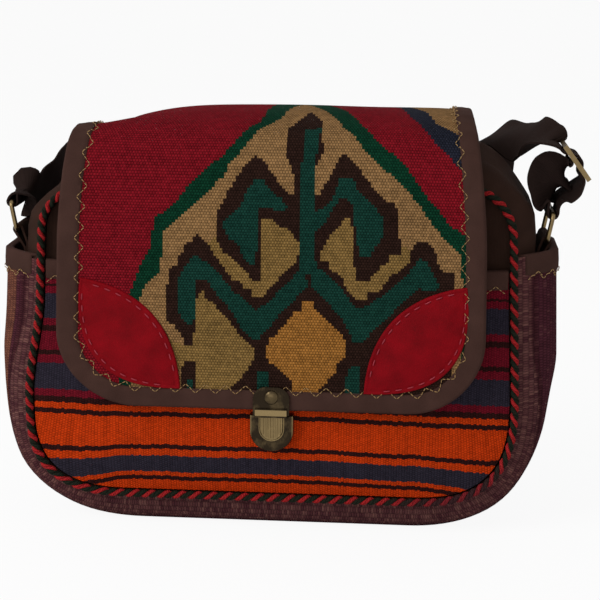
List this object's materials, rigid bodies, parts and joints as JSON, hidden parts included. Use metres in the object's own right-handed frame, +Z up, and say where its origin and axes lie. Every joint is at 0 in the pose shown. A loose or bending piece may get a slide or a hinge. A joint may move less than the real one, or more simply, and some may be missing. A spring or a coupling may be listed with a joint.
{
  "type": "shoulder bag",
  "caption": "Woven wool shoulder bag with a patterned flap, leather leaf patches, tuck lock, striped front and side pockets, twisted cord piping and an adjustable strap.",
  "frame": {"origin": "middle of the flat band of cloth that the bag stands on", "axes": "+Z up, the front with the flap and lock faces -Y, +X to the right as the front is seen"},
  "size_m": [0.3806, 0.1731, 0.2729],
  "materials": {
    "canvas": "dark brown cotton canvas, matt",
    "tape": "brown folded cotton tape, matt",
    "stripes": "hand-woven wool in level stripes, ribbed and matt",
    "side_stripes": "hand-woven wool in maroon and dark stripes, ribbed and matt",
    "flap_weave": "hand-woven wool tapestry with stepped shapes, matt",
    "lining": "dark cotton lining, matt",
    "leather": "thin red leather, slightly shiny",
    "cord": "twisted red and dark green cord",
    "strap_cloth": "dark brown woven strap, matt",
    "brass": "worn antique brass",
    "dark_brass": "dark antique brass",
    "steel": "plain plated steel"
  },
  "bodies": {
    "bag": {"gusset": "canvas", "side_bottom_kilim": "side_stripes", "front_panel": "canvas", "back_panel": "canvas", "front_piping": "cord", "back_piping": "cord", "side_pocket_binding_left": "tape", "side_pocket_binding_right": "tape", "front_pocket": "stripes", "front_pocket_binding": "tape", "flap_lining": "lining", "flap_kilim": "flap_weave", "flap_binding": "tape", "leaf_patch_left": "leather", "leaf_patch_right": "leather", "lock_body": "brass", "lock_spring": "steel", "lock_back_plate": "steel", "lock_tongue": "dark_brass", "tongue_screw": "dark_brass", "tongue_washer": "steel", "zip_tape_front": "tape", "zip_tape_back": "tape", "zip_teeth": "dark_brass", "strap_tab_left": "canvas", "strap_tab_right": "canvas", "strap_slider": "dark_brass", "strap": "strap_cloth"},
    "lock_button": {"lock_button": "brass"},
    "ring_left": {"strap_ring_left": "brass"},
    "ring_right": {"strap_ring_right": "brass"},
    "zip_slider": {"zip_slider": "dark_brass"},
    "zip_pull": {"zip_pull": "dark_brass"}
  },
  "joints": [
    {"name": "button_press", "type": "slide", "parent": "bag", "child": "lock_button", "axis": [0, 1, 0], "range_m": [0, 0.002], "stiffness_N_per_m": 700, "deforming": ["lock_spring"]},
    {"name": "ring_left_swing", "type": "hinge", "parent": "bag", "child": "ring_left", "pos_m": [-0.17171, 0, 0.19], "axis": [0, -1, 0], "range_deg": [-20, 85], "deforming": ["strap"]},
    {"name": "ring_right_swing", "type": "hinge", "parent": "bag", "child": "ring_right", "pos_m": [0.17171, 0, 0.19], "axis": [0, 1, 0], "range_deg": [-20, 85], "deforming": ["strap"]},
    {"name": "zip_slide", "type": "slide", "parent": "bag", "child": "zip_slider", "axis": [1, 0, 0], "range_m": [-0.2, 0]},
    {"name": "zip_pull_flip", "type": "hinge", "parent": "zip_slider", "child": "zip_pull", "pos_m": [0.098, -0.00071, 0.25023], "axis": [0, -0.9826, -0.1856], "range_deg": [0, 12]}
  ]
}
